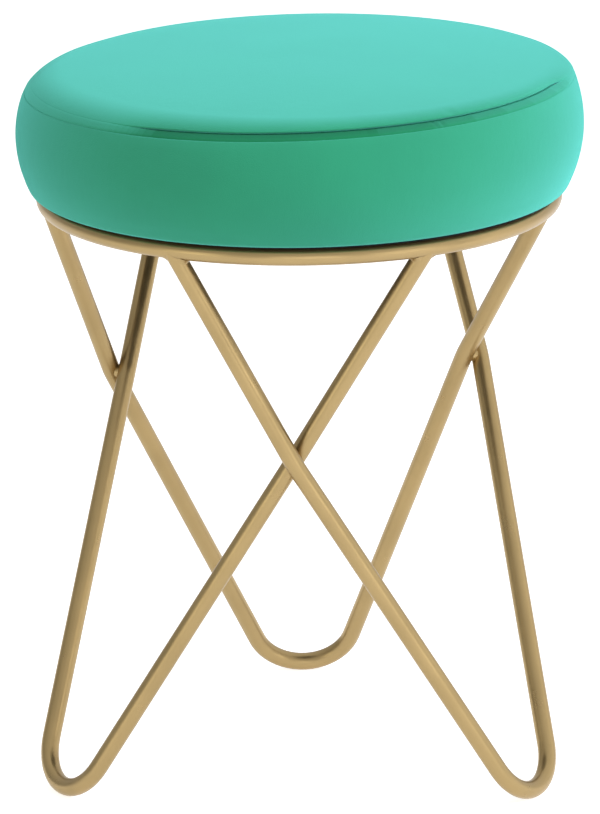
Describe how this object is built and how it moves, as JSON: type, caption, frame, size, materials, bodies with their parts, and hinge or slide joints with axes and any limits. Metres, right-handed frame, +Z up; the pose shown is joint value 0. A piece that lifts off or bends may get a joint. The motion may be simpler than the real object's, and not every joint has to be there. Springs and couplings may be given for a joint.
{
  "type": "padded ottoman",
  "caption": "Round velvet ottoman with a crowned, seamed cushion on a ring of gold tube, carried by bent hairpin legs whose arms cross.",
  "frame": {"origin": "on the floor under the middle of the seat", "axes": "+Z up, -Y to the front between the two front legs, +X to the right"},
  "size_m": [0.374, 0.3739, 0.4825],
  "materials": {
    "satin_gold": "satin gold plating on round steel tube",
    "zinc_steel": "zinc-plated steel",
    "velvet": "short-pile turquoise green velvet",
    "foam": "open-cell foam",
    "plywood": "raw plywood",
    "black_cloth": "black non-woven cloth"
  },
  "bodies": {
    "root": {"seat_ring": "satin_gold", "leg_front_left": "satin_gold", "leg_front_right": "satin_gold", "leg_back": "satin_gold", "leg_welds": "satin_gold", "crossing_welds": "satin_gold", "tab_front": "satin_gold", "tab_back_left": "satin_gold", "tab_back_right": "satin_gold", "tab_welds": "satin_gold", "seat_screws": "zinc_steel", "screw_washers": "zinc_steel", "tee_nuts": "zinc_steel", "staples": "zinc_steel", "top_panel": "velvet", "edge_strip": "velvet", "side_band": "velvet", "foam_pad": "foam", "seat_board": "plywood", "dust_cover": "black_cloth"}
  },
  "joints": []
}
